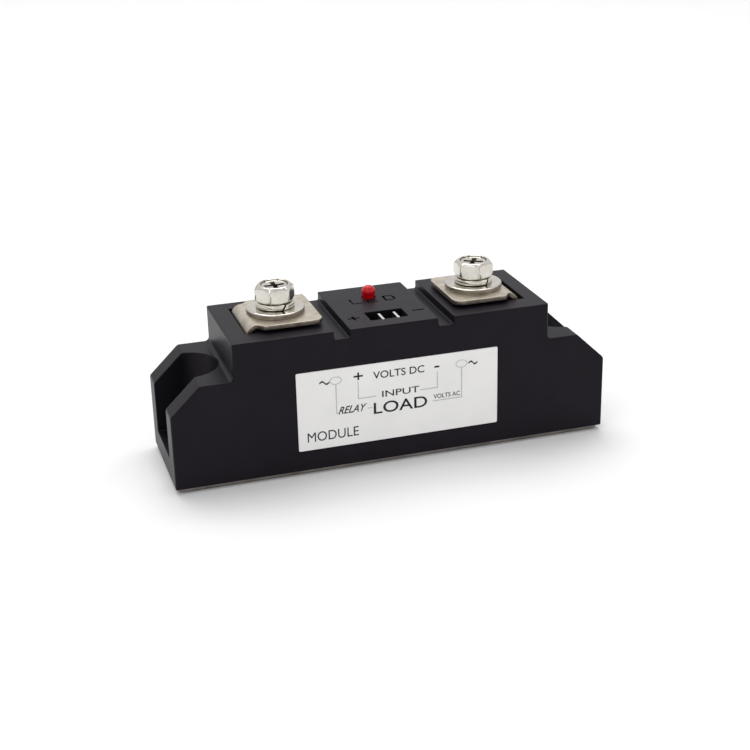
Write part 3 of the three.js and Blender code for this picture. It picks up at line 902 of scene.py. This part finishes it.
def make_bolt(hand, side):
    """A hexagon-head screw with a dished, cross-recessed top and a cut thread."""
    centre, turn = side * TERMINAL_X, HEAD_TURN[hand]
    low, high = box_mm(hand + "_terminal_bolt")
    tip, top = low[2], high[2]
    seat = top - HEAD_HEIGHT
    angles = directions(turn)
    shank_radius, full_thread, run_out = 2.2, seat - 2.5, 0.9
    bearing, crown, rim, dish = 3.72, 3.6, 3.12, 2.85
    dish_edge, dish_middle = top - 0.34, top - 0.42

    def flat_side(angle):
        return hexagon_radius(angle, turn)

    def shank(z):
        def radius(angle):
            fade = min(max((full_thread - z) / run_out, 0), 1)
            lead = 1.95 + (z - tip) * 1.1
            return min(thread_radius(angle, z) * fade + shank_radius * (1 - fade), lead)
        return radius

    rings = [ring_at(centre, angles, 1.4, tip), ring_at(centre, angles, 1.85, tip)]
    turned_length = seat - 1.3 - tip
    rows_up = ceil(turned_length / (PITCH / 8))
    for i in range(1, rows_up + 1):
        z = tip + turned_length * i / rows_up
        rings.append(ring_at(centre, angles, shank(z), z))
    rings.append(ring_at(centre, angles, shank_radius, seat))
    first = len(rings)
    rings += [
        ring_at(centre, angles, bearing, seat),
        ring_at(centre, angles, flat_side, lambda a: seat + (flat_side(a) - bearing) * 0.75 + 0.05),
        ring_at(centre, angles, flat_side, lambda a: top - (flat_side(a) - crown) * 0.8 - 0.08),
        ring_at(centre, angles, crown, top),
        ring_at(centre, angles, rim, top),
        ring_at(centre, angles, dish, dish_edge),
        ring_at(centre, angles, 1.2, dish_middle),
    ]
    bm = bmesh.new()
    rows = skin(bm, rings)
    soften(bm, rows, range(first, first + 6), 0.13)
    obj = to_object(hand + "_bolt", bm)
    carve(obj, cross_cutter(centre, turn, top))
    fit_out(obj, hand + "_terminal_bolt", hand + "_bolt", angle=38)

    # Painted shade in the cross recess and a painted dark reflection on the dish wall.
    def is_painted_shade(face):
        x, y, z = face.center / MM
        from_axis = hypot(x - centre, y)
        in_recess = from_axis < 2.6 and top - 3 < z < dish_middle - 0.05
        on_dish_wall = dish + 0.01 < from_axis < rim - 0.02 and dish_edge + 0.01 < z < top - 0.01
        return in_recess or on_dish_wall

    second_finish(obj, "painted_recess_shade", is_painted_shade)


def make_nut(hand, side):
    """A hexagon nut with a cut thread, countersunk at both ends."""
    centre = side * TERMINAL_X
    low, high = box_mm(hand + "_captive_nut")
    z0, z1 = low[2], high[2]
    angles = directions(0)
    play, mouth_radius, face = 0.12, 2.75, 3.85

    def flat_side(angle):
        return hexagon_radius(angle, 0, 0.25)

    def bore(z):
        def radius(angle):
            mouth = mouth_radius - min(z - z0, z1 - z) * 0.8
            return max(thread_radius(angle, z) + play, mouth)
        return radius

    rings = []
    rows_up = round((z1 - z0) / (PITCH / 8))
    for i in range(rows_up + 1):
        z = z0 + (z1 - z0) * i / rows_up
        rings.append(ring_at(centre, angles, bore(z), z))
    rings += [
        ring_at(centre, angles, face, z1),
        ring_at(centre, angles, flat_side, lambda a: z1 - (flat_side(a) - face) * 0.6),
        ring_at(centre, angles, flat_side, lambda a: z0 + (flat_side(a) - face) * 0.6),
        ring_at(centre, angles, face, z0),
    ]
    bm = bmesh.new()
    skin(bm, rings, closed=True)
    fit_out(to_object(hand + "_nut", bm), hand + "_captive_nut", angle=38)


def make_flat_washer(hand, side):
    """A stamped washer, rounder at the top edge than at the bottom one."""
    inner, outer = 2.35, 6.55
    below, above = 0.25, 0.35
    z0, z1 = STRAP_TOP, WASHER_TOP
    profile = [(inner, z0 + 0.1), (inner + 0.1, z0)]
    profile += arc((outer - below, z0 + below), below, -90, 0, 5)
    profile += arc((outer - above, z1 - above), above, 0, 90, 7)
    profile += [(inner + 0.2, z1), (inner, z1 - 0.2)]
    obj = turned_ring(hand + "_washer", profile, 128, (side * TERMINAL_X, 0))
    fit_out(obj, hand + "_flat_washer", hand + "_washers", angle=40)
    # Painted shade on the washer's rim.
    second_finish(obj, "painted_edge_shade", lambda face: abs(face.normal.z) < 0.4)


def make_spring_washer(hand, side):
    """A split ring of square wire whose cut ends are slanted and a little out of line."""
    centre = side * TERMINAL_X
    z0, z1 = WASHER_TOP, SPRING_TOP
    inner, outer = 2.42, 4.4
    gap, step, slope = radians(7), 0.1, 0.16
    section = rounded_loop(inner, outer, z0 + 0.02, z1 - step, 0.34, 5)
    middle = (z0 + z1) / 2
    split = radians({"left": -76, "right": -64}[hand])
    steps = 120
    rings = []
    for i in range(steps + 1):
        share = i / steps
        angle = split + gap / 2 + (2 * pi - gap) * share
        ring = []
        for r, z in section:
            lifted = z + step * share
            slant = angle + (lifted - middle) * slope
            ring.append((centre + r * cos(slant), r * sin(slant), lifted))
        rings.append(ring)
    bm = bmesh.new()
    skin(bm, rings)
    obj = to_object(hand + "_split_washer", bm)
    fit_out(obj, hand + "_spring_washer", hand + "_washers", angle=40)


# ---------------------------------------------------------------- lamp, blades, base
def make_lamp():
    """A small lamp: a ball on a neck with a flange below the housing's top."""
    low, high = box_mm("status_lamp")
    cx, cy = (low[0] + high[0]) / 2, (low[1] + high[1]) / 2
    base, top = low[2], high[2]
    ball, neck, flange = 1.6, 1.45, (high[0] - low[0]) / 2
    thickness, edge = 1.0, 0.1
    profile = [(0.3, base), (flange - edge, base), (flange, base + edge)]
    profile += [(flange, base + thickness - edge), (flange - edge, base + thickness)]
    profile += [(neck + edge, base + thickness), (neck, base + thickness + edge)]
    profile += [(neck, base + 1.5), (neck, base + 2.0)]
    below = degrees(acos(neck / ball))
    profile += arc((0, top - ball), ball, -below, 86, 26)
    steps = 64
    around = [(cos(2 * pi * i / steps), sin(2 * pi * i / steps)) for i in range(steps)]
    bm = bmesh.new()
    skin(bm, [[(cx + r * ax, cy + r * ay, z) for ax, ay in around] for r, z in profile])
    fit_out(to_object("lamp", bm), "status_lamp", angle=50)


def make_blade(hand):
    """A control blade, rounder at its tip than down in the header."""
    node = hand + "_input_blade"
    obj = refined(node, hand + "_blade", 0.16, lambda middle: 1.0 if middle.z > 24 else 0.5)
    fit_out(obj, node)


def plate_rounding(middle):
    """Share of the full rounding: half at the plate's upper edges."""
    return 0.5 if middle.z > 2.9 else 1.0


make_housing()
make_label()
make_print()
make_lamp()
for hand, side in (("left", -1), ("right", 1)):
    make_strap(hand, side)
    make_nut(hand, side)
    make_flat_washer(hand, side)
    make_spring_washer(hand, side)
    make_bolt(hand, side)
make_blade("positive")
make_blade("negative")
fit_out(
    refined("base_plate", "plate", 0.3, plate_rounding, clamp=False, min_angle=40),
    "base_plate",
)

# The other pieces keep their CAD shape with edges eased by this width.
INSIDE = {
    "base_seal": 0.08, "input_header": 0.15, "control_board": 0.06, "snubber_capacitor": 0.5,
    "varistor": 0.3, "snubber_resistor": 0.05, "input_resistor": 0.05, "protection_diode": 0.05,
    "control_transistor": 0.12, "ceramic_substrate": 0.06, "silicone_gel": 0.2,
    "left_optocoupler": 0.1, "right_optocoupler": 0.1, "left_copper_pad": 0.05,
    "right_copper_pad": 0.05, "left_thyristor_chip": 0.04, "right_thyristor_chip": 0.04,
    "left_cathode_clip": 0.12, "right_cathode_clip": 0.12, "left_gate_wire": 0.04,
    "right_gate_wire": 0.04, "left_cathode_wire": 0.04, "right_cathode_wire": 0.04,
    "lamp_anode_lead": 0.06, "lamp_cathode_lead": 0.06,
}
for node, width in INSIDE.items():
    fit_out(refined(node, node + "_body", width, segments=2), node, angle=35)


# ---------------------------------------------------------------- studio
def make_floor():
    """A wide pale table just under the object."""
    half, gap = 15000, 0.02
    bm = bmesh.new()
    bmesh.ops.create_grid(bm, x_segments=8, y_segments=8, size=half)
    obj = to_object("floor", bm)
    obj.location.z = -gap * MM
    material = surface(
        "floor_paper", (0.75, 0.75, 0.75), (0.77, 0.77, 0.77), 60.0, (0.75, 0.85), 1.5, 0.02,
    )
    obj.data.materials.append(material)


def area_light(name, place, target, size, power):
    """A white panel at place, facing target; metres and watts."""
    data = bpy.data.lights.new(name, "AREA")
    data.shape = "RECTANGLE"
    data.size, data.size_y = size
    data.energy = power
    light = bpy.data.objects.new(name, data)
    bpy.context.scene.collection.objects.link(light)
    light.location = place
    aim = Vector(target) - Vector(place)
    light.rotation_euler = aim.to_track_quat("-Z", "Y").to_euler()


def make_world():
    """Even studio surroundings, darker low down so that polished metal has something to show."""
    world = bpy.data.worlds.new("studio")
    bpy.context.scene.world = world
    world.use_nodes = True
    tree_nodes, links = world.node_tree.nodes, world.node_tree.links
    coordinates = tree_nodes.new("ShaderNodeTexCoord")
    parts = tree_nodes.new("ShaderNodeSeparateXYZ")
    links.new(coordinates.outputs["Generated"], parts.inputs["Vector"])
    height = spread(tree_nodes, links, parts.outputs["Z"], 0.0, 1.0, -1.0, 1.0)
    stops = [
        (0.0, (0.5, 0.5, 0.5)), (0.5, (0.6, 0.59, 0.6)), (0.57, (0.72, 0.7, 0.72)),
        (0.65, (1, 0.98, 1)), (0.78, (1, 1, 1)), (0.9, (0.85, 0.85, 0.86)),
    ]
    color = ramp(tree_nodes, links, height, stops)
    links.new(color, tree_nodes["Background"].inputs["Color"])
    tree_nodes["Background"].inputs["Strength"].default_value = 0.85


def make_camera():
    """The photograph's view of the object; distances in metres."""
    azimuth, elevation, roll = radians(-16.91), radians(22.25), radians(-1.417)
    target, distance = Vector((-0.00073, 0, 0.01613)), 0.33646
    back = Vector((sin(azimuth) * cos(elevation), -cos(azimuth) * cos(elevation), sin(elevation)))
    right = Vector((cos(azimuth), sin(azimuth), 0))
    up = back.cross(right)
    level = right * cos(roll) + up * sin(roll)
    upward = up * cos(roll) - right * sin(roll)
    data = bpy.data.cameras.new("camera")
    data.sensor_width = 36.0
    data.lens = 69.43
    data.clip_start, data.clip_end = 0.01, 50
    camera = bpy.data.objects.new("camera", data)
    bpy.context.scene.collection.objects.link(camera)
    pose = Matrix((level, upward, back)).transposed().to_4x4()
    pose.translation = target + back * distance
    camera.matrix_world = pose
    bpy.context.scene.camera = camera


make_floor()
make_world()
make_camera()
BODY = (0, 0, 0.02)
BEHIND = (-0.1, 0.9, 0)
area_light("key", (-0.5, -0.45, 0.9), BODY, (0.7, 0.7), 1.6)
area_light("top", (0.1, 0.25, 0.9), BODY, (0.9, 0.6), 4.2)
area_light("back", (-0.1, 1.0, 1.5), BEHIND, (1.4, 0.9), 8)
area_light("fill", (0.8, -0.6, 0.4), BODY, (0.5, 0.5), 0.7)
bpy.context.scene.view_settings.view_transform = "Standard"
